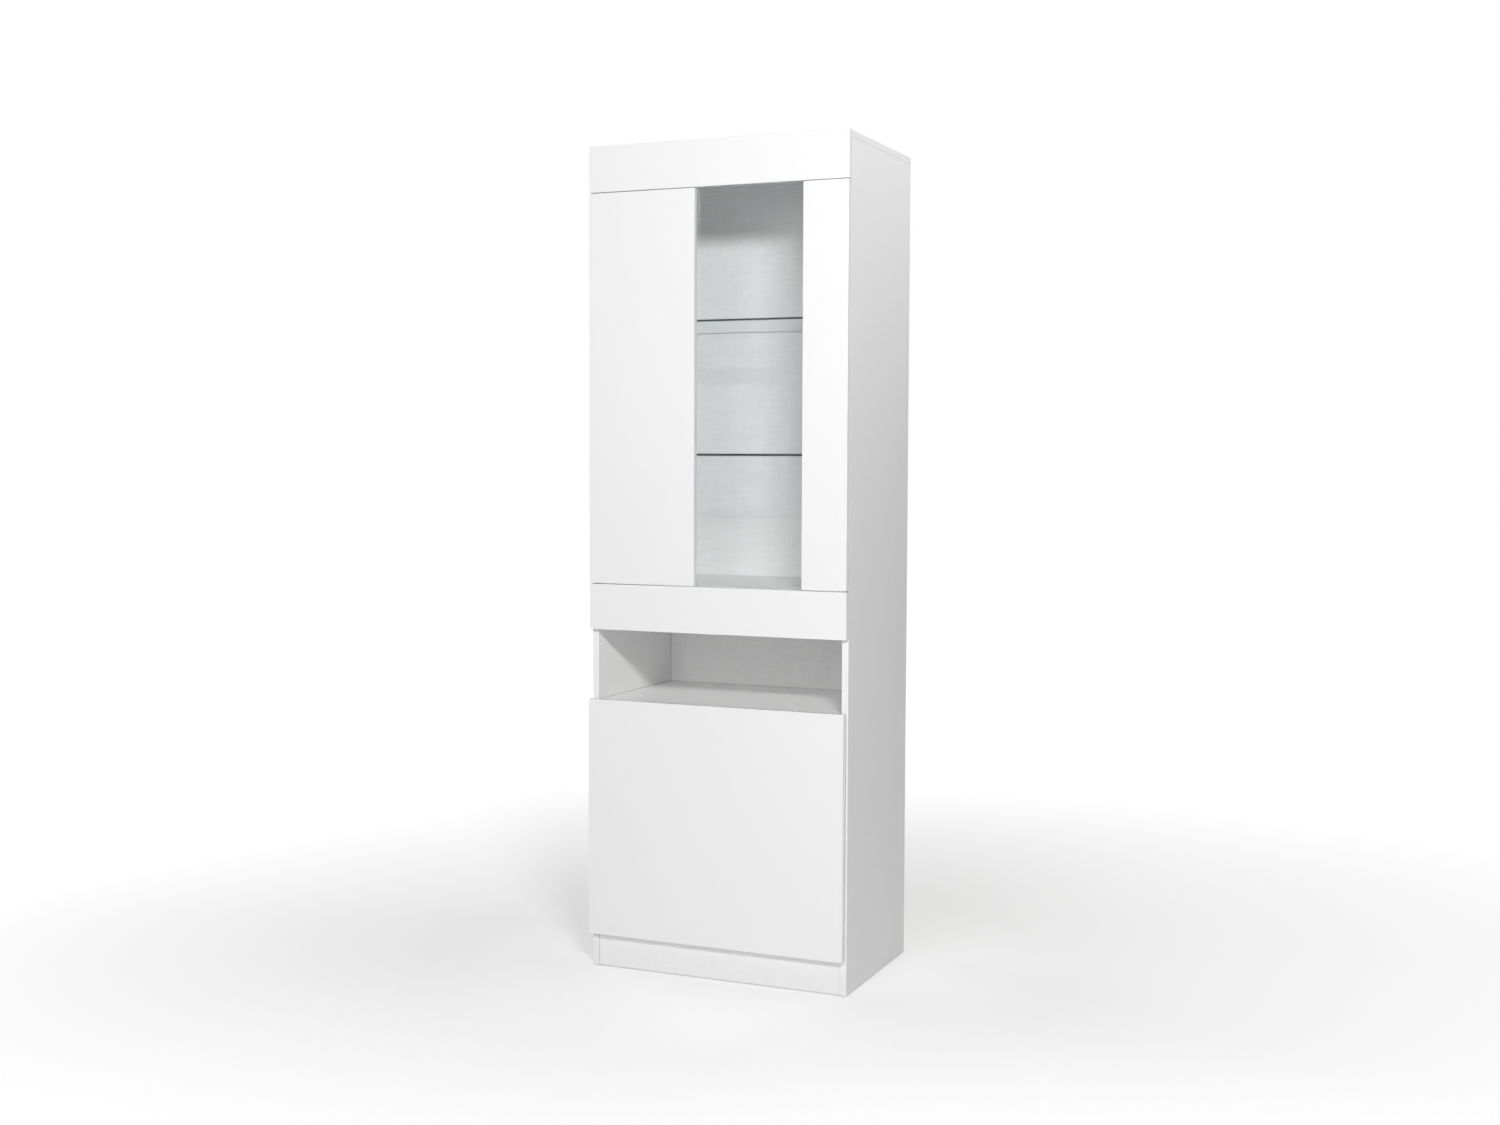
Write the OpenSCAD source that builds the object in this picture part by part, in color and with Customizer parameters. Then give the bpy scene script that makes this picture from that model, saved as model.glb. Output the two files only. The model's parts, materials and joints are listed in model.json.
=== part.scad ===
// Tall white display cabinet: a glazed door over an open niche over a cupboard.
// Millimetres. +X is to the cabinet's right as seen from the front, the front faces -Y, +Z is up.
// The origin is on the floor, in the middle of the cabinet's outer box.

/* [Carcass] */
// Width over the two side panels
body_w = 666; // [560:1:800]
// Depth of the side panels
body_d = 424; // [380:1:480]
// Height from the floor to the top
total_h = 2000; // [1900:1:2100]
// Thickness of every board, front and shelf
board = 16; // [16:0.5:18]
// Height of the glides under the side panels
glide_h = 2; // [1:0.5:3]
// Floor to the underside of the bottom panel
plinth_h = 84; // [70:1:100]
// How far the plinth stands back from the side panels' front edges
plinth_recess = 2; // [0:0.5:4]
// Height of the niche floor's upper face
niche_floor_z = 663; // [640:1:700]
// Height of the display floor's upper face
display_floor_z = 948; // [930:1:970]
// Height of the top fascia
top_fascia_h = 110; // [90:1:120]
// Height of the middle fascia
mid_fascia_h = 111; // [90:1:120]

/* [Back] */
// Thickness of the hardboard back
back_t = 3; // [3:0.5:4]
// Rear edges of the side panels to the rear face of the back
back_setback = 16.5; // [12:0.5:20]
// Depth of the grooves that hold the back
groove_d = 6; // [5:0.5:7]

/* [Doors] */
// Gap between a closed door and the carcass
door_gap = 1.5; // [1.5:0.1:1.8]
// Working gap above and below the upper door
reveal = 2; // [1.5:0.1:3]
// Width of the wide stile of the upper door
wide_stile_w = 280; // [240:1:300]
// Width of the narrow stile of the upper door
narrow_stile_w = 111; // [90:1:130]
// Thickness of the glass pane in the upper door
pane_t = 4; // [4:0.5:5]
// How far the pane runs behind each stile
pane_lap = 25; // [20:1:30]
// How far the lower door reaches past the left side panel
lower_overhang = 4; // [4:1:4]
// Strip of the right side panel's edge that the lower door leaves bare
lower_bare = 5; // [3:0.5:5]
// How far the lower door rises above the niche floor
lower_rise = 2; // [0:0.5:3]

/* [Shelves] */
// Thickness of the glass shelves
shelf_t = 5; // [5:0.5:6]
// Underside of the lower glass shelf
low_shelf_z = 1260; // [1200:1:1320]
// Underside of the upper glass shelf
high_shelf_z = 1577; // [1500:1:1640]
// Carcass front to the front edge of the glass shelves
shelf_setback = 14; // [10:1:40]
// Underside of the shelf in the cupboard
cupboard_shelf_z = 366; // [330:1:400]

/* [Hinges] */
// Door edge to the hinge's cup centre
cup_inset = 22.5; // [22.5:0.5:22.5]
// Door edge to the link pin on the arm
arm_pin_x = 28; // [28:0.5:28]
// Door edge to the link pin in the cup
cup_pin_x = 11; // [11:0.5:11]
// Depth of the cup pin behind the door's rear face
cup_pin_depth = 5; // [5:0.5:5]
// Distance from a door's ends to its outer hinges
hinge_end = 90; // [70:1:120]

/* [Latches] */
// Right side's outer face to the middle of each push latch
latch_inset = 9.5; // [9:0.1:9.5]
// Length of the latch plungers
plunger_len = 42; // [36:1:44]

/* [Hidden] */

// Colours
WHITE = [0.96, 0.96, 0.95];
GLOSS = [0.98, 0.98, 0.98];
GLASS = [0.72, 0.86, 0.82, 0.4];
STEEL = [0.72, 0.72, 0.70];
PLASTIC = [0.85, 0.85, 0.84];
BEECH = [0.80, 0.66, 0.46];

// Outer faces, left to right. The lower door's overhang counts in the outer box.
mid_x = lower_overhang / 2;
left_x = mid_x - body_w / 2;
right_x = mid_x + body_w / 2;
in_left = left_x + board;
in_right = right_x - board;

// Front to back
total_d = body_d + door_gap + board;
carcass_y = board + door_gap - total_d / 2;
rear_y = carcass_y + body_d;
back_y = rear_y - back_setback - back_t;
door_y = carcass_y - door_gap;

// Heights
side_top = total_h - board;
top_fascia_z = total_h - top_fascia_h;
mid_fascia_z = display_floor_z - mid_fascia_h;
upper_door_z = [display_floor_z + reveal, top_fascia_z - reveal];
lower_door_z = [plinth_h, niche_floor_z + lower_rise];
level_z = [plinth_h, niche_floor_z - board, display_floor_z - board];

// Doors, left to right
lower_left = left_x - lower_overhang;
lower_right = right_x - lower_bare;
pane_x = [left_x + wide_stile_w - pane_lap, right_x - narrow_stile_w + pane_lap];
pane_margin = 3;

// Hinge heights
upper_hinge_z = [
    upper_door_z[0] + hinge_end,
    (upper_door_z[0] + upper_door_z[1]) / 2,
    upper_door_z[1] - hinge_end
];
lower_hinge_z = [lower_door_z[0] + hinge_end, lower_door_z[1] - hinge_end];

// Hinge pieces
link_w = 10.4;
link_half = 1.2;
ear_w = 16;
ear_gap = 11.4;
cup_r = 17.4;
cup_hollow_r = 16;
cup_depth = 12;
cup_hollow_depth = 11.2;
flange_r = 19;
flange_t = 1;
wing_z = 26;
hinge_pin_r = 1.45;
hinge_bore_r = 1.5;
plate_y = 37;
plate_screw_z = 16;
euro_r = 2.5;
arm_screw_r = 2.1;
adjuster_y = 24;
fixing_y = 48;

// Panel fittings
cam_y = [carcass_y + 50, carcass_y + 350];
dowel_y = [carcass_y + 92, carcass_y + 308];
cam_in = 24;
cam_r = 7.4;
cam_h = 10.8;
bolt_r = 3;
dowel_r = 4;
pin_r = 2.5;
nail_r = 0.85;
screw_r = 1.75;
fit = 0.03;

// Places that repeat
nail_x = [for (i = [-1.5, -0.5, 0.5, 1.5]) mid_x + i * 190];
fascia_dowel_x = [for (i = [-1, 0, 1]) mid_x + i * 240];
fascia_dowel_z = [display_floor_z - board / 2, total_h - board / 2];
side_dowel_z = mid_fascia_z + 18;
bracket_z = [mid_fascia_z + 45, top_fascia_z + 45];
glass_pin_y = [carcass_y + 60, carcass_y + 340];
cupboard_pin_y = [carcass_y + 84, carcass_y + 340];
clip_z = [for (i = [0, 1, 2, 3]) upper_door_z[0] + 60 + i * (upper_door_z[1] - upper_door_z[0] - 120) / 3];
latch_x = right_x - latch_inset;
upper_latch_z = (upper_door_z[0] + upper_door_z[1]) / 2;
lower_latch_z = (lower_door_z[0] + lower_door_z[1]) / 2;
latch_len = 50;
latch_r = 4.5;
plunger_r = 2.4;
plunger_front = 0.6;
plunger_bore_depth = plunger_len + 4;
disc_t = 0.5;
bumper_t = 1.1;
bumper_end = 25;
wall_hole_x = 280;
wall_hole_r = 3;
plinth_pin_z = plinth_h / 2;

$fn = 48;

// ---- Shape helpers ----

// A box from its low and high faces
module block(x, y, z) {
    translate([x[0], y[0], z[0]])
        cube([x[1] - x[0], y[1] - y[0], z[1] - z[0]]);
}

// Round bars along each axis
module rod_x(x, y, z, r) {
    translate([x[0], y, z])
        rotate([0, 90, 0])
            cylinder(r = r, h = x[1] - x[0]);
}

module rod_y(x, y, z, r) {
    translate([x, y[1], z])
        rotate([90, 0, 0])
            cylinder(r = r, h = y[1] - y[0]);
}

module rod_z(x, y, z, r) {
    translate([x, y, z[0]])
        cylinder(r = r, h = z[1] - z[0]);
}

// ---- Carcass ----

// Holes that one side panel has on its inner face. face is that face's x, dir points into the board.
module side_holes(face, dir) {
    for (z = level_z) {
        for (y = cam_y)
            rod_x(sorted(face, face + dir * 11), y, z + board / 2, bolt_r + fit);
        for (y = dowel_y)
            rod_x(sorted(face, face + dir * 10.5), y, z + board / 2, dowel_r + fit);
    }
    for (z = [low_shelf_z, high_shelf_z], y = glass_pin_y)
        rod_x(sorted(face, face + dir * 10), y, z - pin_r, pin_r + fit);
    for (y = cupboard_pin_y)
        rod_x(sorted(face, face + dir * 10), y, cupboard_shelf_z - pin_r, pin_r + fit);
    for (z = bracket_z)
        rod_x(sorted(face, face + dir * 12), carcass_y + 16, z, screw_r + fit);
    for (y = plinth_y())
        rod_x(sorted(face, face + dir * 10.5), y, plinth_pin_z, dowel_r + fit);
    for (y = cam_y)
        rod_x(sorted(face, face + dir * 12.6), y, side_top - cam_in, cam_r + 0.1);
}

function sorted(a, b) = [min(a, b), max(a, b)];
function plinth_y() = [carcass_y + plinth_recess + board / 2, back_y - board / 2];

// One side panel from its low and high x
module side_panel(x, face, dir) {
    difference() {
        block(x, [carcass_y, rear_y], [glide_h, side_top]);
        block(sorted(face - dir, face + dir * groove_d), [back_y - 0.1, back_y + back_t + 0.1],
            [plinth_h - 0.5, side_top + 1]);
        side_holes(face, dir);
        for (y = dowel_y)
            rod_z((x[0] + x[1]) / 2, y, [side_top - 20.5, side_top + 1], dowel_r + fit);
        for (y = cam_y)
            rod_z((x[0] + x[1]) / 2, y, [side_top - cam_in, side_top + 1], bolt_r + 0.5);
        rod_y((x[0] + x[1]) / 2, [carcass_y - 1, carcass_y + 20.5], side_dowel_z, dowel_r + fit);
    }
}

module side_panel_left() {
    color(WHITE)
        difference() {
            side_panel([left_x, in_left], in_left, -1);
            for (z = concat(upper_hinge_z, lower_hinge_z), s = [-1, 1])
                rod_x([in_left - 12, in_left + 1], carcass_y + plate_y, z + s * plate_screw_z, euro_r + fit);
        }
}

module side_panel_right() {
    color(WHITE)
        difference() {
            side_panel([in_right, right_x], in_right, 1);
            for (z = [upper_latch_z, lower_latch_z])
                rod_y(latch_x, [carcass_y - 1, carcass_y + latch_len + 0.1], z, latch_r + fit);
        }
}

module top_panel() {
    color(WHITE)
        difference() {
            block([left_x, right_x], [carcass_y, rear_y], [side_top, total_h]);
            block([in_left - groove_d, in_right + groove_d], [back_y - 0.1, back_y + back_t + 0.1],
                [side_top - 1, side_top + groove_d]);
            for (x = [left_x, in_right], y = dowel_y)
                rod_z(x + board / 2, y, [side_top - 1, side_top + 10.5], dowel_r + fit);
            for (x = [left_x, in_right], y = cam_y)
                rod_z(x + board / 2, y, [side_top - 1, side_top + 11], bolt_r + fit);
            for (x = fascia_dowel_x)
                rod_y(x, [carcass_y - 1, carcass_y + 20.5], fascia_dowel_z[1], dowel_r + fit);
            for (s = [-1, 1])
                rod_z(mid_x + s * wall_hole_x, rear_y - 8, [side_top - 1, side_top + 10], screw_r + fit);
        }
}

// A fixed board between the sides, held by cams in its underside and by dowels
module level_board(z, front) {
    difference() {
        block([in_left, in_right], [front, back_y], [z, z + board]);
        for (y = cam_y, s = [-1, 1]) {
            rod_z(mid_x + s * (in_right - mid_x - cam_in), y, [z - 1, z + 12.5], cam_r + 0.1);
            rod_x(sorted(mid_x + s * (in_right - mid_x + 1), mid_x + s * (in_right - mid_x - cam_in)),
                y, z + board / 2, bolt_r + 0.5);
        }
        for (y = dowel_y, s = [-1, 1])
            rod_x(sorted(mid_x + s * (in_right - mid_x + 1), mid_x + s * (in_right - mid_x - 20.5)),
                y, z + board / 2, dowel_r + fit);
        for (x = nail_x)
            rod_y(x, [back_y - 16, back_y + 1], z + board / 2, nail_r + fit);
    }
}

module display_floor() {
    color(WHITE)
        difference() {
            level_board(level_z[2], carcass_y);
            for (x = fascia_dowel_x)
                rod_y(x, [carcass_y - 1, carcass_y + 20.5], fascia_dowel_z[0], dowel_r + fit);
        }
}

module niche_floor() {
    color(WHITE)
        level_board(level_z[1], carcass_y);
}

module bottom_panel() {
    color(WHITE)
        level_board(level_z[0], carcass_y);
}

// A sheet of the back, with the nail holes that fall inside it
module back_sheet(z) {
    difference() {
        block([in_left - groove_d + 0.5, in_right + groove_d - 0.5], [back_y, back_y + back_t], z);
        for (x = nail_x, h = level_z)
            if (h + board / 2 > z[0] && h + board / 2 < z[1])
                rod_y(x, [back_y - 1, back_y + back_t + 1], h + board / 2, nail_r + fit);
    }
}

module back_panel_upper() {
    color(WHITE)
        back_sheet([level_z[2] + 2.2, side_top + groove_d - 0.5]);
}

module back_panel_lower() {
    color(WHITE)
        back_sheet([plinth_h, level_z[2] + 2]);
}

// A plinth board by the middle of its thickness
module plinth_board(y) {
    difference() {
        block([in_left, in_right], [y - board / 2, y + board / 2], [glide_h + 1, plinth_h]);
        for (s = [-1, 1])
            rod_x(sorted(mid_x + s * (in_right - mid_x + 1), mid_x + s * (in_right - mid_x - 20.5)),
                y, plinth_pin_z, dowel_r + fit);
    }
}

module plinth_front() {
    color(WHITE)
        plinth_board(plinth_y()[0]);
}

module plinth_rear() {
    color(WHITE)
        plinth_board(plinth_y()[1]);
}

// ---- Fascias ----

// A fascia between two heights, with its dowel row and the height of its bracket screws
module fascia(z, dowel_z, bracket) {
    difference() {
        block([left_x, right_x], [carcass_y - board, carcass_y], z);
        for (x = fascia_dowel_x)
            rod_y(x, [carcass_y - 10.5, carcass_y + 1], dowel_z, dowel_r + fit);
        for (s = [-1, 1])
            rod_y(mid_x + s * (in_right - mid_x - 16), [carcass_y - 12, carcass_y + 1], bracket,
                screw_r + fit);
    }
}

module top_fascia() {
    color(GLOSS)
        fascia([top_fascia_z, total_h], fascia_dowel_z[1], bracket_z[1]);
}

module mid_fascia() {
    color(GLOSS)
        difference() {
            fascia([mid_fascia_z, display_floor_z], fascia_dowel_z[0], bracket_z[0]);
            for (x = [left_x, in_right])
                rod_y(x + board / 2, [carcass_y - 10.5, carcass_y + 1], side_dowel_z, dowel_r + fit);
        }
}

// An angle bracket in the corner between a side panel and a fascia
module corner_bracket(face, dir, z) {
    difference() {
        union() {
            block(sorted(face, face - dir * 2), [carcass_y, carcass_y + 25], [z - 7.5, z + 7.5]);
            block(sorted(face, face - dir * 25), [carcass_y, carcass_y + 2], [z - 7.5, z + 7.5]);
        }
        rod_x(sorted(face + dir, face - dir * 3), carcass_y + 16, z, screw_r + 0.15);
        rod_y(face - dir * 16, [carcass_y - 1, carcass_y + 3], z, screw_r + 0.15);
    }
}

module fascia_brackets() {
    color(STEEL)
        for (z = bracket_z) {
            corner_bracket(in_left, -1, z);
            corner_bracket(in_right, 1, z);
        }
}

// A pan-head wood screw along X or Y. at is the surface under the head, dir points to the tip.
module screw_x(at, y, z, dir, len) {
    rod_x(sorted(at, at + dir * len), y, z, screw_r);
    rod_x(sorted(at, at - dir * 1.8), y, z, 3.2);
}

module screw_y(x, at, z, dir, len) {
    rod_y(x, sorted(at, at + dir * len), z, screw_r);
    rod_y(x, sorted(at, at - dir * 1.8), z, 3.2);
}

module fascia_bracket_screws() {
    color(STEEL)
        for (z = bracket_z) {
            screw_x(in_left + 2, carcass_y + 16, z, -1, 13);
            screw_x(in_right - 2, carcass_y + 16, z, 1, 13);
            screw_y(in_left + 16, carcass_y + 2, z, -1, 13);
            screw_y(in_right - 16, carcass_y + 2, z, -1, 13);
        }
}

module fascia_dowels() {
    color(BEECH)
        union() {
            for (x = fascia_dowel_x, z = fascia_dowel_z)
                rod_y(x, [carcass_y - 10, carcass_y + 20], z, dowel_r);
            for (x = [left_x, in_right])
                rod_y(x + board / 2, [carcass_y - 10, carcass_y + 20], side_dowel_z, dowel_r);
        }
}

// ---- Shelves ----

module glass_shelf(z) {
    block([in_left + 1.5, in_right - 1.5], [carcass_y + shelf_setback, back_y - 2], [z, z + shelf_t]);
}

module glass_shelf_upper() {
    color(GLASS)
        glass_shelf(high_shelf_z);
}

module glass_shelf_lower() {
    color(GLASS)
        glass_shelf(low_shelf_z);
}

// A peg with a collar against the side panel. Its upper side carries the shelf.
module shelf_pin(face, dir, y, z) {
    rod_x(sorted(face + dir * 9, face - dir * 10), y, z - pin_r, pin_r);
    rod_x(sorted(face, face - dir * 1), y, z - pin_r, pin_r + 1);
}

module glass_shelf_pins() {
    color(PLASTIC)
        for (z = [low_shelf_z, high_shelf_z], y = glass_pin_y) {
            shelf_pin(in_left, -1, y, z);
            shelf_pin(in_right, 1, y, z);
        }
}

module cupboard_shelf() {
    color(WHITE)
        block([in_left + 1.5, in_right - 1.5], [carcass_y + 60, back_y - 2],
            [cupboard_shelf_z, cupboard_shelf_z + board]);
}

module cupboard_shelf_pins() {
    color(STEEL)
        for (y = cupboard_pin_y) {
            shelf_pin(in_left, -1, y, cupboard_shelf_z);
            shelf_pin(in_right, 1, y, cupboard_shelf_z);
        }
}

// ---- Panel fittings ----

// A cam disc with a screwdriver slot, lying along Z with its open face down
module cam_disc(x, y, z) {
    difference() {
        rod_z(x, y, [z + 1.6, z + 1.6 + cam_h], cam_r);
        block([x - 5, x + 5], [y - 0.6, y + 0.6], [z + 1, z + 3.6]);
    }
}

module cam_locks() {
    color(STEEL)
        union() {
            for (z = level_z, y = cam_y, s = [-1, 1])
                cam_disc(mid_x + s * (in_right - mid_x - cam_in), y, z);
            for (y = cam_y) {
                rod_x([in_left - 12.4, in_left - 1.6], y, side_top - cam_in, cam_r);
                rod_x([in_right + 1.6, in_right + 12.4], y, side_top - cam_in, cam_r);
            }
        }
}

module cam_bolts() {
    color(STEEL)
        union() {
            for (z = level_z, y = cam_y, s = [-1, 1])
                rod_x(sorted(mid_x + s * (in_right - mid_x + 10.5),
                    mid_x + s * (in_right - mid_x - cam_in + cam_r + 0.2)), y, z + board / 2, bolt_r);
            for (x = [left_x, in_right], y = cam_y)
                rod_z(x + board / 2, y, [side_top - cam_in + cam_r + 0.2, side_top + 10.5], bolt_r);
        }
}

module carcass_dowels() {
    color(BEECH)
        union() {
            for (z = level_z, y = dowel_y, s = [-1, 1])
                rod_x(sorted(mid_x + s * (in_right - mid_x + 10), mid_x + s * (in_right - mid_x - 20)),
                    y, z + board / 2, dowel_r);
            for (x = [left_x, in_right], y = dowel_y)
                rod_z(x + board / 2, y, [side_top - 20, side_top + 10], dowel_r);
            for (y = plinth_y(), s = [-1, 1])
                rod_x(sorted(mid_x + s * (in_right - mid_x + 10), mid_x + s * (in_right - mid_x - 20)),
                    y, plinth_pin_z, dowel_r);
        }
}

// Plastic caps over the cams that can be seen
module cam_caps() {
    color(PLASTIC)
        union() {
            for (z = [level_z[1], level_z[2]], y = cam_y, s = [-1, 1]) {
                rod_z(mid_x + s * (in_right - mid_x - cam_in), y, [z - 1, z], cam_r + 1.2);
                rod_z(mid_x + s * (in_right - mid_x - cam_in), y, [z - 0.5, z + 1.4], cam_r - 0.2);
            }
            for (y = cam_y) {
                rod_x([in_left, in_left + 1], y, side_top - cam_in, cam_r + 1.2);
                rod_x([in_left - 1.4, in_left + 0.5], y, side_top - cam_in, cam_r - 0.2);
                rod_x([in_right - 1, in_right], y, side_top - cam_in, cam_r + 1.2);
                rod_x([in_right - 0.5, in_right + 1.4], y, side_top - cam_in, cam_r - 0.2);
            }
        }
}

module back_nails() {
    color(STEEL)
        for (x = nail_x, z = level_z) {
            rod_y(x, [back_y - 15, back_y + back_t], z + board / 2, nail_r);
            rod_y(x, [back_y + back_t, back_y + back_t + 0.8], z + board / 2, 2);
        }
}

module floor_glides() {
    color(PLASTIC)
        for (x = [left_x, in_right], y = [carcass_y + 40, rear_y - 40])
            rod_z(x + board / 2, y, [0, glide_h], 7);
}

// Hanging angles in the recess behind the back, flush with the rear edges
module wall_brackets() {
    color(STEEL)
        for (s = [-1, 1])
            difference() {
                union() {
                    block([mid_x + s * wall_hole_x - 18, mid_x + s * wall_hole_x + 18],
                        [rear_y - 15, rear_y], [side_top - 2, side_top]);
                    block([mid_x + s * wall_hole_x - 18, mid_x + s * wall_hole_x + 18],
                        [rear_y - 2, rear_y], [side_top - 40, side_top]);
                }
                rod_y(mid_x + s * wall_hole_x, [rear_y - 3, rear_y + 1], side_top - 25, wall_hole_r);
                rod_z(mid_x + s * wall_hole_x, rear_y - 8, [side_top - 3, side_top + 1], screw_r + 0.15);
            }
}

module wall_bracket_screws() {
    color(STEEL)
        for (s = [-1, 1]) {
            rod_z(mid_x + s * wall_hole_x, rear_y - 8, [side_top - 2, side_top + 9.5], screw_r);
            rod_z(mid_x + s * wall_hole_x, rear_y - 8, [side_top - 3.8, side_top - 2], 3.2);
        }
}

// ---- Hinges ----
// Each hinge is a cup in the door, an arm on the side panel and a goose-neck link between them.
// edge is the x of the door's hinged edge.

// The middle line of the link from the cup pin to the arm pin, as seen from above
function link_line() = [
    [0, 0], [5, -4.2], [12, -4.2], [16.6, -1], [arm_pin_x - cup_pin_x, door_gap + cup_pin_depth]
];

function unit(v) = v / norm(v);
function left_of(v) = [-v[1], v[0]];

// Points beside a line of points, with mitred corners. A negative distance is to its right.
function beside(line, distance) = [
    for (i = [0:len(line) - 1])
        let (
            before = unit(line[max(i, 1)] - line[max(i, 1) - 1]),
            after = unit(line[min(i + 1, len(line) - 1)] - line[min(i + 1, len(line) - 1) - 1]),
            across = unit(left_of(before) + left_of(after))
        )
        line[i] + distance * across / (across * left_of(before))
];

function reversed(list) = [for (i = [len(list) - 1:-1:0]) list[i]];

module link_outline() {
    line = link_line();
    polygon(concat(beside(line, link_half), reversed(beside(line, -link_half))));
    circle(r = 3);
    translate(line[len(line) - 1])
        circle(r = 3.6);
}

module hinge_link(edge, z) {
    translate([edge + cup_pin_x, door_y - cup_pin_depth, z - link_w / 2])
        difference() {
            linear_extrude(link_w)
                link_outline();
            translate([0, 0, -1])
                cylinder(r = hinge_bore_r, h = link_w + 2);
            translate([arm_pin_x - cup_pin_x, door_gap + cup_pin_depth, -1])
                cylinder(r = hinge_bore_r, h = link_w + 2);
        }
}

// The arm: a bar on the mounting plate with two ears round the link pin
module hinge_arm(edge, z) {
    x = edge + arm_pin_x;
    difference() {
        union() {
            block([x - 5, x + 2], [carcass_y + 10, carcass_y + 58], [z - 6, z + 6]);
            block([x - 4, x + 4], [carcass_y + 4.6, carcass_y + 14], [z - ear_w / 2, z + ear_w / 2]);
            for (s = [-1, 1])
                block([x - 4, x + 4], [carcass_y, carcass_y + 5],
                    sorted(z + s * ear_gap / 2, z + s * ear_w / 2));
            for (s = [-1, 1])
                rod_z(x, carcass_y, sorted(z + s * ear_gap / 2, z + s * ear_w / 2), 4);
        }
        rod_z(x, carcass_y, [z - ear_w, z + ear_w], hinge_bore_r);
        rod_x([x - 6, x + 3], carcass_y + adjuster_y, z, arm_screw_r + 0.1);
        rod_x([x - 6, x + 3], carcass_y + fixing_y, z, arm_screw_r + 0.1);
        rod_x([x - 1, x + 3], carcass_y + fixing_y, z, 4);
    }
}

module hinge_plate(edge, z) {
    top = edge + arm_pin_x - 5;
    difference() {
        union() {
            block([in_left, top], [carcass_y + 20, carcass_y + 56], [z - 6, z + 6]);
            block([in_left, in_left + 2.5], [carcass_y + 30, carcass_y + 44], [z - 22, z + 22]);
        }
        for (s = [-1, 1])
            rod_x([in_left - 1, in_left + 4], carcass_y + plate_y, z + s * plate_screw_z, euro_r + 0.1);
        rod_x([in_left - 1, top + 1], carcass_y + fixing_y, z, arm_screw_r + fit);
    }
}

// The screw that holds the arm on its plate, and the set screw that adjusts the door sideways
module arm_screw_pair(edge, z) {
    x = edge + arm_pin_x;
    rod_x([in_left + 0.2, x - 1], carcass_y + fixing_y, z, arm_screw_r);
    rod_x([x - 1, x + 1.4], carcass_y + fixing_y, z, 3.6);
    rod_x([x - 4.9, x + 1.6], carcass_y + adjuster_y, z, arm_screw_r);
}

module arm_pin(edge, z) {
    rod_z(edge + arm_pin_x, carcass_y, [z - ear_w / 2 - 0.4, z + ear_w / 2 + 0.4], hinge_pin_r);
}

module plate_screw_pair(z) {
    for (s = [-1, 1]) {
        rod_x([in_left - 11.5, in_left + 2.5], carcass_y + plate_y, z + s * plate_screw_z, euro_r);
        rod_x([in_left + 2.5, in_left + 4.3], carcass_y + plate_y, z + s * plate_screw_z, 3.6);
    }
}

// The space that a cup takes out of the door's rear face, grown by a small clearance
module cup_pocket(edge, z, grow) {
    x = edge + cup_inset;
    rod_y(x, [door_y - cup_depth - grow, door_y + 1], z, cup_r + grow);
    rod_y(x, [door_y - flange_t - grow, door_y + 1], z, flange_r + grow);
    block([x - 6 - grow, x + 6 + grow], [door_y - flange_t - grow, door_y + 1],
        [z - wing_z - 5.5 - grow, z + wing_z + 5.5 + grow]);
}

module cup_screw_holes(edge, z, r) {
    for (s = [-1, 1])
        rod_y(edge + cup_inset, [door_y - 13, door_y + 1], z + s * wing_z, r);
}

module hinge_cup(edge, z) {
    x = edge + cup_inset;
    difference() {
        union() {
            rod_y(x, [door_y - cup_depth, door_y], z, cup_r);
            rod_y(x, [door_y - flange_t, door_y], z, flange_r);
            block([x - 6, x + 6], [door_y - flange_t, door_y], [z - wing_z - 5.5, z + wing_z + 5.5]);
        }
        rod_y(x, [door_y - cup_hollow_depth, door_y + 1], z, cup_hollow_r);
        rod_z(edge + cup_pin_x, door_y - cup_pin_depth, [z - 14, z + 14], hinge_bore_r);
        cup_screw_holes(edge, z, 3.45);
    }
}

// The cup pin ends just inside the cup's outer wall
module cup_pin(edge, z) {
    half = sqrt(pow(cup_r, 2) - pow(cup_inset - cup_pin_x + hinge_pin_r, 2)) - 0.1;
    rod_z(edge + cup_pin_x, door_y - cup_pin_depth, [z - half, z + half], hinge_pin_r);
}

module cup_screw_pair(edge, z) {
    for (s = [-1, 1]) {
        rod_y(edge + cup_inset, [door_y - 12.5, door_y - flange_t], z + s * wing_z, 1.9);
        rod_y(edge + cup_inset, [door_y - flange_t, door_y - 0.1], z + s * wing_z, 3.35);
    }
}

module upper_hinge_plates() {
    color(STEEL)
        for (z = upper_hinge_z)
            hinge_plate(left_x, z);
}

module upper_hinge_arms() {
    color(STEEL)
        for (z = upper_hinge_z)
            hinge_arm(left_x, z);
}

module upper_arm_pins() {
    color(STEEL)
        for (z = upper_hinge_z)
            arm_pin(left_x, z);
}

module upper_plate_screws() {
    color(STEEL)
        for (z = upper_hinge_z)
            plate_screw_pair(z);
}

module upper_arm_screws() {
    color(STEEL)
        for (z = upper_hinge_z)
            arm_screw_pair(left_x, z);
}

module upper_hinge_links() {
    color(STEEL)
        for (z = upper_hinge_z)
            hinge_link(left_x, z);
}

module upper_hinge_cups() {
    color(STEEL)
        for (z = upper_hinge_z)
            hinge_cup(left_x, z);
}

module upper_cup_pins() {
    color(STEEL)
        for (z = upper_hinge_z)
            cup_pin(left_x, z);
}

module upper_cup_screws() {
    color(STEEL)
        for (z = upper_hinge_z)
            cup_screw_pair(left_x, z);
}

module lower_hinge_plates() {
    color(STEEL)
        for (z = lower_hinge_z)
            hinge_plate(lower_left, z);
}

module lower_hinge_arms() {
    color(STEEL)
        for (z = lower_hinge_z)
            hinge_arm(lower_left, z);
}

module lower_arm_pins() {
    color(STEEL)
        for (z = lower_hinge_z)
            arm_pin(lower_left, z);
}

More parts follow.
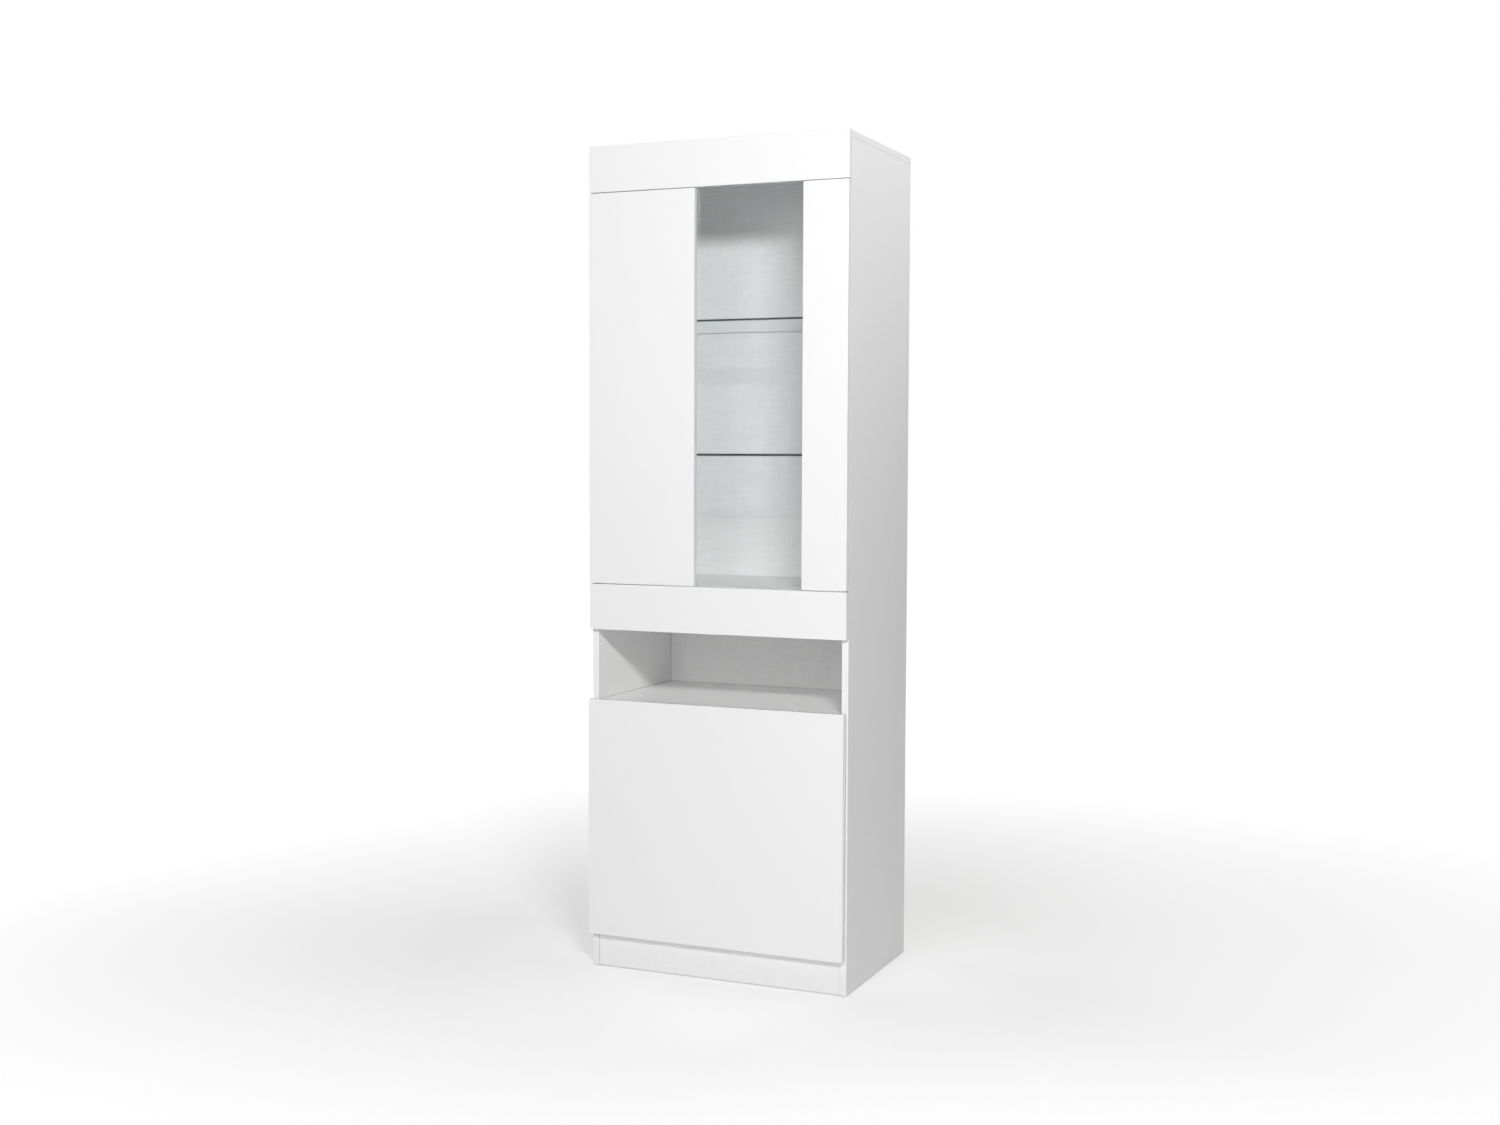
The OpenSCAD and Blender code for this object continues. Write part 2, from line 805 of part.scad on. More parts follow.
module lower_plate_screws() {
    color(STEEL)
        for (z = lower_hinge_z)
            plate_screw_pair(z);
}

module lower_arm_screws() {
    color(STEEL)
        for (z = lower_hinge_z)
            arm_screw_pair(lower_left, z);
}

module lower_hinge_links() {
    color(STEEL)
        for (z = lower_hinge_z)
            hinge_link(lower_left, z);
}

module lower_hinge_cups() {
    color(STEEL)
        for (z = lower_hinge_z)
            hinge_cup(lower_left, z);
}

module lower_cup_pins() {
    color(STEEL)
        for (z = lower_hinge_z)
            cup_pin(lower_left, z);
}

module lower_cup_screws() {
    color(STEEL)
        for (z = lower_hinge_z)
            cup_screw_pair(lower_left, z);
}

// ---- Push latches ----

module latch_housing(z) {
    difference() {
        rod_y(latch_x, [carcass_y, carcass_y + latch_len], z, latch_r);
        rod_y(latch_x, [carcass_y - 1, carcass_y + plunger_bore_depth], z, plunger_r + 0.05);
    }
}

module latch_plunger(z) {
    rod_y(latch_x, [carcass_y - plunger_front, carcass_y - plunger_front + plunger_len], z, plunger_r);
}

module strike_disc(z) {
    rod_y(latch_x, [door_y, door_y + disc_t], z, 4);
}

module upper_latch_housing() {
    color(PLASTIC)
        latch_housing(upper_latch_z);
}

module lower_latch_housing() {
    color(PLASTIC)
        latch_housing(lower_latch_z);
}

module upper_latch_plunger() {
    color(WHITE)
        latch_plunger(upper_latch_z);
}

module lower_latch_plunger() {
    color(WHITE)
        latch_plunger(lower_latch_z);
}

module upper_strike_disc() {
    color(STEEL)
        strike_disc(upper_latch_z);
}

module lower_strike_disc() {
    color(STEEL)
        strike_disc(lower_latch_z);
}

// ---- Upper door ----

module upper_stile_wide() {
    color(GLOSS)
        difference() {
            block([left_x, left_x + wide_stile_w], [door_y - board, door_y], upper_door_z);
            for (z = upper_hinge_z) {
                cup_pocket(left_x, z, 0.05);
                cup_screw_holes(left_x, z, 1.9 + fit);
            }
            for (z = clip_z)
                rod_y(pane_x[0] - 8, [door_y - 11, door_y + 1], z, screw_r + fit);
        }
}

module upper_stile_narrow() {
    color(GLOSS)
        difference() {
            block([right_x - narrow_stile_w, right_x], [door_y - board, door_y], upper_door_z);
            for (z = clip_z)
                rod_y(pane_x[1] + 8, [door_y - 11, door_y + 1], z, screw_r + fit);
        }
}

module upper_door_glass() {
    color(GLASS)
        block(pane_x, [door_y, door_y + pane_t],
            [upper_door_z[0] + pane_margin, upper_door_z[1] - pane_margin]);
}

// A clip screwed to a stile, with a lip over the edge of the pane. dir points to the pane.
module glass_clip(edge, dir, z) {
    difference() {
        union() {
            block(sorted(edge - dir * 0.2, edge - dir * 14), [door_y, door_y + pane_t], [z - 9, z + 9]);
            block(sorted(edge + dir * 6, edge - dir * 14), [door_y + pane_t, door_y + pane_t + 2.5],
                [z - 9, z + 9]);
        }
        rod_y(edge - dir * 8, [door_y - 1, door_y + pane_t + 4], z, screw_r + 0.15);
    }
}

module glass_clips() {
    color(PLASTIC)
        for (z = clip_z) {
            glass_clip(pane_x[0], 1, z);
            glass_clip(pane_x[1], -1, z);
        }
}

module glass_clip_screws() {
    color(STEEL)
        for (z = clip_z) {
            screw_y(pane_x[0] - 8, door_y + pane_t + 2.5, z, -1, 16.5);
            screw_y(pane_x[1] + 8, door_y + pane_t + 2.5, z, -1, 16.5);
        }
}

// Soft buffers between a door and the right side panel, near the door's ends
module door_bumpers(z) {
    for (h = [z[0] + bumper_end, z[1] - bumper_end])
        rod_y(latch_x, [door_y, door_y + bumper_t], h, 4);
}

module upper_door_bumpers() {
    color(PLASTIC)
        door_bumpers(upper_door_z);
}

// ---- Lower door ----

module lower_door_panel() {
    color(GLOSS)
        difference() {
            block([lower_left, lower_right], [door_y - board, door_y], lower_door_z);
            for (z = lower_hinge_z) {
                cup_pocket(lower_left, z, 0.05);
                cup_screw_holes(lower_left, z, 1.9 + fit);
            }
        }
}

module lower_door_bumpers() {
    color(PLASTIC)
        door_bumpers(lower_door_z);
}

side_panel_left();
side_panel_right();
top_panel();
display_floor();
niche_floor();
bottom_panel();
back_panel_upper();
back_panel_lower();
plinth_front();
plinth_rear();
top_fascia();
mid_fascia();
fascia_brackets();
fascia_bracket_screws();
fascia_dowels();
glass_shelf_upper();
glass_shelf_lower();
glass_shelf_pins();
cupboard_shelf();
cupboard_shelf_pins();
cam_locks();
cam_bolts();
carcass_dowels();
cam_caps();
back_nails();
floor_glides();
wall_brackets();
wall_bracket_screws();
upper_hinge_plates();
upper_hinge_arms();
upper_arm_pins();
upper_plate_screws();
upper_arm_screws();
lower_hinge_plates();
lower_hinge_arms();
lower_arm_pins();
lower_plate_screws();
lower_arm_screws();
upper_latch_housing();
lower_latch_housing();
upper_latch_plunger();
lower_latch_plunger();
upper_hinge_links();
lower_hinge_links();
upper_stile_wide();
upper_stile_narrow();
upper_door_glass();
glass_clips();
glass_clip_screws();
upper_hinge_cups();
upper_cup_pins();
upper_cup_screws();
upper_strike_disc();
upper_door_bumpers();
lower_door_panel();
lower_hinge_cups();
lower_cup_pins();
lower_cup_screws();
lower_strike_disc();
lower_door_bumpers();
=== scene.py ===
import json
import math

import bmesh
import bpy
from mathutils import Matrix, Vector

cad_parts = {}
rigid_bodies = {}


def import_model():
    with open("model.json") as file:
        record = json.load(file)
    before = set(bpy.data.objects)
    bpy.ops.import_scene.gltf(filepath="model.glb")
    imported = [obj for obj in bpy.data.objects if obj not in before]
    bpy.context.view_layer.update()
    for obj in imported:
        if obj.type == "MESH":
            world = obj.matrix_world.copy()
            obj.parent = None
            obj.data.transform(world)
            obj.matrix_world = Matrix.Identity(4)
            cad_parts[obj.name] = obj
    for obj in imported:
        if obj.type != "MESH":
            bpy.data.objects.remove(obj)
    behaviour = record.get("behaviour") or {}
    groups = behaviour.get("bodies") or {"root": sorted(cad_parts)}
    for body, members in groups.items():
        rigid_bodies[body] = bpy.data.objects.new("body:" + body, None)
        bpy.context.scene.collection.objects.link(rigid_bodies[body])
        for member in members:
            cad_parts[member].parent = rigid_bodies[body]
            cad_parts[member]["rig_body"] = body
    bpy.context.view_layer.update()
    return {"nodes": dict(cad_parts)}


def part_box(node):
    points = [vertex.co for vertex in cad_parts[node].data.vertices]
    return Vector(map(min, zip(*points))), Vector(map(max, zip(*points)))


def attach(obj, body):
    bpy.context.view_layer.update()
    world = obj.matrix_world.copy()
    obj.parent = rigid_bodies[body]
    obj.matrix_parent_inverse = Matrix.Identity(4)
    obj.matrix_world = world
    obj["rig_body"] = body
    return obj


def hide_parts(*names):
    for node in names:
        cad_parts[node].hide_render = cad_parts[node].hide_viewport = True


# A tall white display cabinet: a glazed door over an open niche over a cupboard.
# Metres. +X is to the cabinet's right as seen from the front, the fronts face -Y, +Z is up.

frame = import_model()

# ---- Camera: metres, and degrees of turn to the left, upwards and about its own axis ----

CAMERA_PLACE = (1.770, -4.115, 1.261)
CAMERA_YAW = 23.28
CAMERA_PITCH = -3.38
CAMERA_ROLL = 0.21
CAMERA_LENS_MM = 43.5
CAMERA_SENSOR_MM = 36.0
CAMERA_REACH = 200.0

# ---- Studio: soft boxes as place, aim, width, height and watts ----

SOFT_BOXES = {
    "key_light": ((1.70, -2.90, 2.39), (0.0, 0.0, 1.7), 0.65, 0.28, 74.5),
    "upper_left_light": ((-0.4, -4.8, 3.3), (0.0, 0.0, 1.3), 1.6, 1.4, 29),
    "front_light": ((0.3, -8.0, 2.6), (0.0, 0.0, 1.2), 4.0, 3.0, 102),
    "side_light": ((1.15, 0.3, 2.90), (0.33, 0.0, 1.65), 0.8, 1.1, 11.5),
    "rear_light": ((-0.8, 5.0, 2.8), (0.0, 0.0, 1.0), 4.0, 2.5, 60),
    "left_side_light": ((-4.5, 0.9, 2.4), (0.0, 0.0, 1.0), 2.5, 2.5, 55),
}
# How bright the white room is as a lamp, in the object's gloss, and behind the object
ROOM_LIGHT = 0.02
ROOM_REFLECTED = 0.3
BACKDROP_WHITE = 1.0
VIEW_GAMMA = 1.3
# Half the floor's width, the glow that it shows the camera near the object and far from it, and the two
# distances from the middle between which that changes
FLOOR_HALF = 30.0
FLOOR_GLOW = 0.30
FLOOR_GLOW_FAR = 1.0
FLOOR_NEAR = 0.8
FLOOR_FAR = 4.0

# ---- Edge roundings, and how near two places are to count as one ----

BOARD_ROUND = 0.0008
METAL_ROUND = 0.0003
THIN_METAL_ROUND = 0.00018
PLASTIC_ROUND = 0.0003
PANE_CHAMFER = 0.0004
SHELF_CHAMFER = 0.0005
ROUND_STEPS = 2
FLAT_FACE_WEIGHT = 60
# Edges that turn by more than this, in degrees, are rounded on all but the boards
SHARP_ANGLE = 35.0
WELD_REACH = 0.000002
SMALLEST = 0.00001
KEY_DIGITS = 6
# A face looks along an axis when its normal has at least this much of it
FACING = 0.99

# ---- Painted shade in corners, grooves and joints, where shade falls: how far it reaches, how dark it
# ---- gets, and between what shares of open sky it fades out ----

PAINTED_SHADE_REACH = 0.0035
PAINTED_SHADE_DARKEST = 0.42
PAINTED_SHADE_SHUT = 0.45
PAINTED_SHADE_OPEN = 0.86
PAINTED_SHADE_SAMPLES = 12


# ======== Materials ========

class Finish:
    """A Principled material with the texture nodes of its detail, in metres of the object's own space."""

    def __init__(self, name, colour, roughness, **sockets):
        self.material = bpy.data.materials.new(name)
        self.material.use_nodes = True
        self.tree = self.material.node_tree
        self.shader = self.tree.nodes["Principled BSDF"]
        self.output = self.tree.nodes["Material Output"]
        self.place = self.tree.nodes.new("ShaderNodeTexCoord").outputs["Object"]
        self.set("Base Color", (*colour, 1.0))
        self.set("Roughness", roughness)
        for socket, value in sockets.items():
            self.set(socket.replace("_", " "), value)

    def set(self, socket, value):
        """Puts a number, a colour or another node's output on one of the shader's sockets."""
        self.feed(self.shader.inputs[socket], value)

    def feed(self, target, value):
        if isinstance(value, bpy.types.NodeSocket):
            self.tree.links.new(value, target)
        else:
            target.default_value = value

    def node(self, kind, inputs, output=0, **settings):
        made = self.tree.nodes.new("ShaderNode" + kind)
        for name, value in settings.items():
            setattr(made, name, value)
        for name, value in inputs.items():
            self.feed(made.inputs[name], value)
        return made.outputs[output]

    def stretched(self, scales):
        """The place, scaled on its own along each axis."""
        return self.node("Mapping", {"Vector": self.place, "Scale": scales})

    def noise(self, scale, detail=2.0, place=None):
        """Cloudy noise around 0.5, with features of about 1/scale metres."""
        inputs = {"Vector": place or self.place, "Scale": scale, "Detail": detail}
        return self.node("TexNoise", inputs, "Fac")

    def cells(self, scale):
        """The distance to the middle of the nearest cell, with cells of about 1/scale metres."""
        return self.node("TexVoronoi", {"Vector": self.place, "Scale": scale}, "Distance")

    def sum(self, first, second, operation="ADD"):
        return self.node("Math", {0: first, 1: second}, operation=operation)

    def ranged(self, value, low, high, start=0.3, end=0.7):
        """value from start to end becomes low to high, and stays there."""
        return self.node("MapRange", {
            "Value": value, "From Min": start, "From Max": end, "To Min": low, "To Max": high})

    def tones(self, factor, *stops):
        """A colour ramp over (position, colour) stops."""
        made = self.tree.nodes.new("ShaderNodeValToRGB")
        ramp = made.color_ramp
        while len(ramp.elements) < len(stops):
            ramp.elements.new(0.5)
        for element, (position, colour) in zip(ramp.elements, stops):
            element.position = position
            element.color = (*colour, 1.0)
        self.feed(made.inputs["Fac"], factor)
        return made.outputs["Color"]

    def with_painted_shade(self, colour):
        """The colour with painted shade: darker where another board or edge stands within a few
        millimetres, as in corners, grooves and joints.
        """
        open_sky = self.node("AmbientOcclusion", {"Distance": PAINTED_SHADE_REACH}, "AO", samples=PAINTED_SHADE_SAMPLES)
        shade = self.ranged(open_sky, PAINTED_SHADE_DARKEST, 1.0, PAINTED_SHADE_SHUT, PAINTED_SHADE_OPEN)
        inputs = {"Fac": 1.0, "Color1": colour, "Color2": shade}
        return self.node("MixRGB", inputs, blend_type="MULTIPLY")

    def relief(self, height, depth, strength):
        """Bump of a height of 0 to 1 that is depth metres deep."""
        self.set("Normal", self.node("Bump", {
            "Height": height, "Distance": depth, "Strength": strength}, "Normal"))


def grey(level, warmth=0.0):
    return (level, level, level - warmth)


def gloss_front():
    """Glossy white lacquer, almost flat, with a faint orange peel and faint wipe marks."""
    f = Finish("gloss_front", grey(0.93), 0.16, Coat_Weight=0.5, Coat_Roughness=0.06)
    cloud = f.tones(f.noise(1.3), (0.35, grey(0.925)), (0.65, grey(0.935)))
    # The base colour carries painted shade in corners and joints
    f.set("Base Color", f.with_painted_shade(cloud))
    f.set("Roughness", f.ranged(f.noise(7.0, 5.0), 0.13, 0.20))
    f.relief(f.noise(260.0, 1.0), 0.00002, 0.5)
    return f.material


def melamine():
    """White melamine with a fine pearl texture."""
    f = Finish("melamine_board", grey(0.925), 0.42)
    pearl = f.sum(f.noise(620.0, 3.0), f.noise(120.0, 2.0))
    spread = f.ranged(pearl, 0.0, 1.0, 0.75, 1.25)
    speckle = f.tones(spread, (0.0, grey(0.90, 0.004)), (1.0, grey(0.945, 0.004)))
    # The base colour carries painted shade in corners and joints
    f.set("Base Color", f.with_painted_shade(speckle))
    f.set("Roughness", f.ranged(f.noise(18.0, 4.0), 0.36, 0.48))
    f.relief(f.sum(f.noise(1100.0, 2.0), f.noise(300.0, 2.0)), 0.00004, 0.6)
    return f.material


def edge_band():
    """The plain plastic strip on the edges of the boards."""
    f = Finish("edge_band", grey(0.925), 0.34)
    cloud = f.tones(f.noise(5.0), (0.35, grey(0.92)), (0.65, grey(0.93)))
    # The base colour carries painted shade in corners, gaps and joints
    f.set("Base Color", f.with_painted_shade(cloud))
    f.set("Roughness", f.ranged(f.noise(120.0, 3.0), 0.30, 0.38))
    f.relief(f.noise(700.0, 1.0), 0.00001, 0.4)
    return f.material


def linen_back():
    """The printed face of the back, with crossing threads."""
    f = Finish("linen_back", grey(0.90), 0.5)
    up = f.noise(1.0, 4.0, f.stretched((420.0, 420.0, 28.0)))
    across = f.noise(1.0, 4.0, f.stretched((28.0, 28.0, 420.0)))
    threads = f.sum(up, across)
    spread = f.ranged(threads, 0.0, 1.0, 0.75, 1.25)
    weave = f.tones(spread, (0.0, grey(0.86, 0.003)), (1.0, grey(0.962, 0.003)))
    # The base colour carries painted shade in the corners where the back meets other boards
    f.set("Base Color", f.with_painted_shade(weave))
    f.set("Roughness", f.ranged(threads, 0.42, 0.58, 0.8, 1.2))
    f.relief(threads, 0.00008, 0.6)
    return f.material


def hardboard():
    """The bare rear face of the back: pressed brown fibres in a screen pattern."""
    f = Finish("hardboard", (0.36, 0.23, 0.13), 0.7)
    fibres = f.noise(260.0, 6.0)
    f.set("Base Color", f.tones(
        fibres, (0.3, (0.27, 0.165, 0.09)), (0.55, (0.37, 0.24, 0.14)), (0.75, (0.46, 0.32, 0.20))))
    f.set("Roughness", f.ranged(fibres, 0.6, 0.8))
    f.relief(f.sum(fibres, f.cells(800.0)), 0.0001, 0.7)
    return f.material


def particle_core():
    """Bare particle board, as it shows in holes, grooves and unbanded edges."""
    f = Finish("particle_core", (0.55, 0.40, 0.25), 0.8)
    chips = f.cells(420.0)
    f.set("Base Color", f.tones(
        chips, (0.1, (0.64, 0.49, 0.32)), (0.5, (0.52, 0.37, 0.22)), (0.9, (0.35, 0.23, 0.13))))
    f.set("Roughness", f.ranged(f.noise(500.0, 4.0), 0.7, 0.9))
    f.relief(f.sum(chips, f.noise(900.0, 4.0)), 0.0003, 0.8)
    return f.material


def nickel():
    """Nickel-plated stamped steel with faint drawing marks."""
    f = Finish("nickel_steel", (0.70, 0.69, 0.67), 0.26, Metallic=1.0)
    marks = f.noise(1.0, 3.0, f.stretched((300.0, 300.0, 2600.0)))
    cloud = f.noise(90.0, 3.0)
    f.set("Base Color", f.tones(cloud, (0.3, (0.66, 0.65, 0.63)), (0.7, (0.74, 0.73, 0.71))))
    f.set("Roughness", f.ranged(marks, 0.20, 0.34))
    f.relief(marks, 0.00001, 0.4)
    return f.material


def zinc():
    """Die-cast zinc, duller than the nickel and slightly grainy."""
    f = Finish("zinc_casting", (0.58, 0.58, 0.59), 0.45, Metallic=1.0)
    grain = f.noise(700.0, 4.0)
    f.set("Base Color", f.tones(grain, (0.3, (0.50, 0.50, 0.51)), (0.7, (0.64, 0.64, 0.65))))
    f.set("Roughness", f.ranged(grain, 0.36, 0.54))
    f.relief(grain, 0.00003, 0.6)
    return f.material


def white_plastic():
    """Moulded plastic with a fine spark-eroded texture."""
    f = Finish("white_plastic", grey(0.88, 0.008), 0.45, Subsurface_Weight=0.08, Subsurface_Scale=0.002)
    grain = f.noise(1500.0, 3.0)
    f.set("Base Color", f.tones(f.noise(60.0), (0.3, grey(0.87, 0.008)), (0.7, grey(0.89, 0.008))))
    f.set("Roughness", f.ranged(grain, 0.38, 0.52))
    f.relief(grain, 0.00002, 0.5)
    return f.material


def clear_rubber():
    """Soft clear buffers with a slight haze."""
    f = Finish("clear_rubber", (0.92, 0.93, 0.93), 0.25, Transmission_Weight=0.75, IOR=1.42)
    haze = f.noise(900.0, 2.0)
    f.set("Roughness", f.ranged(haze, 0.18, 0.34))
    f.relief(haze, 0.00001, 0.4)
    return f.material


def beech():
    """Plain beech with its short dark flecks along the grain."""
    f = Finish("beech", (0.72, 0.54, 0.34), 0.6)
    grain = f.noise(1.0, 4.0, f.stretched((90.0, 60.0, 900.0)))
    flecks = f.noise(1.0, 2.0, f.stretched((500.0, 160.0, 2200.0)))
    figure = f.sum(grain, flecks, "MULTIPLY")
    f.set("Base Color", f.tones(
        figure, (0.12, (0.52, 0.34, 0.19)), (0.25, (0.70, 0.52, 0.33)), (0.4, (0.80, 0.63, 0.43))))
    f.set("Roughness", f.ranged(grain, 0.5, 0.7))
    f.relief(grain, 0.00005, 0.6)
    return f.material


def lit_glass(f, tint):
    """Lets lamps and scattered light straight through the glass."""
    path = f.tree.nodes.new("ShaderNodeLightPath")
    passing = f.sum(path.outputs["Is Shadow Ray"], path.outputs["Is Diffuse Ray"], "MAXIMUM")
    clear = f.node("BsdfTransparent", {"Color": (*tint, 1.0)})
    mixed = f.node("MixShader", {0: passing, 1: f.shader.outputs["BSDF"], 2: clear})
    f.feed(f.output.inputs["Surface"], mixed)


def clear_glass():
    """Float glass, all but colourless through its faces, with very slight waviness."""
    f = Finish("clear_glass", (0.992, 1.0, 1.0), 0.0, Transmission_Weight=1.0, IOR=1.5)
    f.set("Roughness", f.ranged(f.noise(14.0, 5.0), 0.0, 0.012, 0.45, 0.75))
    f.relief(f.noise(5.0, 1.0), 0.00004, 0.3)
    lit_glass(f, (0.974, 0.984, 0.987))
    return f.material


def glass_edge(name, dark, middle, light):
    """The polished edge of float glass, where the green of its whole width shows in streaks."""
    f = Finish(name, middle, 0.12, Specular_IOR_Level=0.25)
    streaks = f.noise(1.0, 3.0, f.stretched((12.0, 12.0, 700.0)))
    f.set("Base Color", f.tones(streaks, (0.3, dark), (0.55, middle), (0.75, light)))
    f.set("Roughness", f.ranged(streaks, 0.08, 0.2))
    return f.material


def shelf_edge():
    """Nearly black, because it is seen along the whole depth of a shelf."""
    return glass_edge("shelf_edge", (0.004, 0.009, 0.009), (0.010, 0.024, 0.022), (0.03, 0.06, 0.055))


def pane_edge():
    """Pale green, because the pane is narrow."""
    return glass_edge("pane_edge", (0.30, 0.40, 0.37), (0.44, 0.54, 0.51), (0.58, 0.66, 0.64))


MATERIALS = {make.__name__: make() for make in (
    gloss_front, melamine, edge_band, linen_back, hardboard, particle_core, nickel, zinc,
    white_plastic, clear_rubber, beech, clear_glass, shelf_edge, pane_edge)}


# ======== CAD nodes that stay ========

def wear(node, *names):
    """Puts the named materials on a CAD node, in slots of that order."""
    mesh = frame["nodes"][node].data
    mesh.materials.clear()
    for name in names:
        mesh.materials.append(MATERIALS[name])
    return mesh


def soften(node, width, limit="ANGLE"):
    """Rounds a CAD node's sharp or marked edges by modifiers, which leave its own mesh as it is."""
    obj = frame["nodes"][node]
    weld = obj.modifiers.new("weld", "WELD")
    weld.merge_threshold = WELD_REACH
    bevel = obj.modifiers.new("bevel", "BEVEL")
    bevel.width = width
    bevel.segments = ROUND_STEPS
    bevel.limit_method = limit
    bevel.angle_limit = math.radians(SHARP_ANGLE)
    bevel.loop_slide = False
    normals = obj.modifiers.new("normals", "WEIGHTED_NORMAL")
    normals.weight = FLAT_FACE_WEIGHT
    normals.keep_sharp = True
    for polygon in obj.data.polygons:
        polygon.use_smooth = True


def mark_outer_edges(mesh, lo, hi):
    """Marks for rounding the edges that lie along the twelve edges of the board's box."""
    weights = mesh.attributes.new("bevel_weight_edge", "FLOAT", "EDGE").data
    for edge in mesh.edges:
        ends = [mesh.vertices[i].co for i in edge.vertices]
        planes = sum(
            all(abs(end[axis] - side[axis]) < SMALLEST for end in ends)
            for axis in range(3) for side in (lo, hi))
        weights[edge.index].value = 1.0 if planes >= 2 else 0.0


# The order of a board's material slots
FACE_SLOT, BAND_SLOT, CORE_SLOT, OTHER_SLOT = range(4)


def outer_face(centre, normal, lo, hi):
    """The outer face of the box that a polygon lies on, such as '-y', or '' inside the board."""
    for axis, letter in enumerate("xyz"):
        if normal[axis] < -FACING and centre[axis] - lo[axis] < SMALLEST:
            return "-" + letter
        if normal[axis] > FACING and hi[axis] - centre[axis] < SMALLEST:
            return "+" + letter
    return ""


def board(node, finish, banded=(), bare=(), other=None, other_faces=()):
    """A board: finish on its faces, a band on the banded edges, bare core on the rest and in its holes."""
    mesh = wear(node, finish, "edge_band", "particle_core", *([other] if other else []))
    lo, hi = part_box(node)
    for polygon in mesh.polygons:
        face = outer_face(polygon.center, polygon.normal, lo, hi)
        if face in banded:
            polygon.material_index = BAND_SLOT
        elif face in bare or not face:
            polygon.material_index = CORE_SLOT
        elif face in other_faces:
            polygon.material_index = OTHER_SLOT
        else:
            polygon.material_index = FACE_SLOT
    mark_outer_edges(mesh, lo, hi)
    soften(node, BOARD_ROUND, "WEIGHT")


for side in ("side_panel_left", "side_panel_right"):
    board(side, "melamine", banded=("-y",), bare=("+y", "+z", "-z"))
board("top_panel", "melamine", banded=("-x", "+x", "-y"), bare=("+y",))
for level in ("display_floor", "niche_floor", "bottom_panel", "cupboard_shelf"):
    board(level, "melamine", banded=("-y",), bare=("-x", "+x", "+y"))
for plinth in ("plinth_front", "plinth_rear"):
    board(plinth, "melamine", bare=("-x", "+x", "+z"))
for front in ("top_fascia", "mid_fascia", "upper_stile_wide", "upper_stile_narrow", "lower_door_panel"):
    board(front, "gloss_front", other="melamine", other_faces=("+y",))
for back in ("back_panel_upper", "back_panel_lower"):
    board(back, "linen_back", bare=("-x", "+x", "-z", "+z"), other="hardboard", other_faces=("+y",))

METAL_NODES = (
    "fascia_brackets", "wall_brackets", "cupboard_shelf_pins",
    "upper_hinge_plates", "upper_hinge_arms", "upper_arm_pins", "upper_hinge_links", "upper_cup_pins",
    "lower_hinge_plates", "lower_hinge_arms", "lower_arm_pins", "lower_hinge_links", "lower_cup_pins",
    "upper_hinge_cups", "lower_hinge_cups",
)
THIN_METAL_NODES = ("back_nails", "upper_strike_disc", "lower_strike_disc")
CAST_NODES = ("cam_locks", "cam_bolts")
PLASTIC_NODES = (
    "glass_shelf_pins", "cam_caps", "floor_glides", "glass_clips",
    "upper_latch_housing", "lower_latch_housing", "upper_latch_plunger", "lower_latch_plunger",
)

for nodes, finish, width in (
    (METAL_NODES, "nickel", METAL_ROUND),
    (THIN_METAL_NODES, "nickel", THIN_METAL_ROUND),
    (CAST_NODES, "zinc", METAL_ROUND),
    (PLASTIC_NODES, "white_plastic", PLASTIC_ROUND),
):
    for node in nodes:
        wear(node, finish)
        soften(node, width)


# ======== Pieces built here, in the places of their CAD nodes ========

def body_of(node):
    return frame["nodes"][node]["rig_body"]


def finish_piece(bm, name, node, *finishes):
    """Turns a bmesh into the piece that stands for a CAD node."""
    bmesh.ops.recalc_face_normals(bm, faces=bm.faces)
    mesh = bpy.data.meshes.new(name)
    bm.to_mesh(mesh)
    bm.free()
    for finish in finishes:
        mesh.materials.append(MATERIALS[finish])
    obj = bpy.data.objects.new(name, mesh)
    bpy.context.scene.collection.objects.link(obj)
    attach(obj, body_of(node))
    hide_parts(node)


def solids(node):
    """The separate solids of a CAD node, each as a list of its corner points."""
    mesh = frame["nodes"][node].data
    keys = [tuple(round(c, KEY_DIGITS) for c in v.co) for v in mesh.vertices]
    parent = {key: key for key in keys}

    def root(key):
        while parent[key] != key:
            parent[key] = parent[parent[key]]
            key = parent[key]
        return key

    for polygon in mesh.polygons:
        first, *rest = [keys[v] for v in polygon.vertices]
        for other in rest:
            parent[root(other)] = root(first)
    groups = {}
    for key in sorted(parent):
        groups.setdefault(root(key), []).append(Vector(key))
    return list(groups.values())


class Turned:
    """A round solid measured from its points: its axis, its two ends and its radii."""

    def __init__(self, points):
        lo = Vector([min(p[i] for p in points) for i in range(3)])
        hi = Vector([max(p[i] for p in points) for i in range(3)])
        size = hi - lo
        # Across its axis a round solid has two equal sizes
        self.axis = min(range(3), key=lambda i: abs(size[(i + 1) % 3] - size[(i + 2) % 3]))
        self.points = points
        self.low, self.high = lo[self.axis], hi[self.axis]
        self.middle = (lo + hi) / 2

    def widest(self):
        return max(self.radius(p) for p in self.points)

    def radius(self, point):
        away = point - self.middle
        away[self.axis] = 0.0
        return away.length

    def radii_at(self, place):
        """The radii of the corners at one place along the axis."""
        there = [p for p in self.points if abs(p[self.axis] - place) < SMALLEST]
        return sorted({round(self.radius(p), KEY_DIGITS) for p in there})

    def frame_at(self, place, towards):
        """A matrix with its origin at place on the axis and its +Z towards +1 or -1 along it."""
        z = Vector([0.0, 0.0, 0.0])
        z[self.axis] = towards
        x = Vector([0.0, 0.0, 0.0])
        x[(self.axis + 1) % 3] = 1.0
        y = z.cross(x)
        origin = self.middle.copy()
        origin[self.axis] = place
        turn = Matrix((x, y, z)).transposed().to_4x4()
        return Matrix.Translation(origin) @ turn


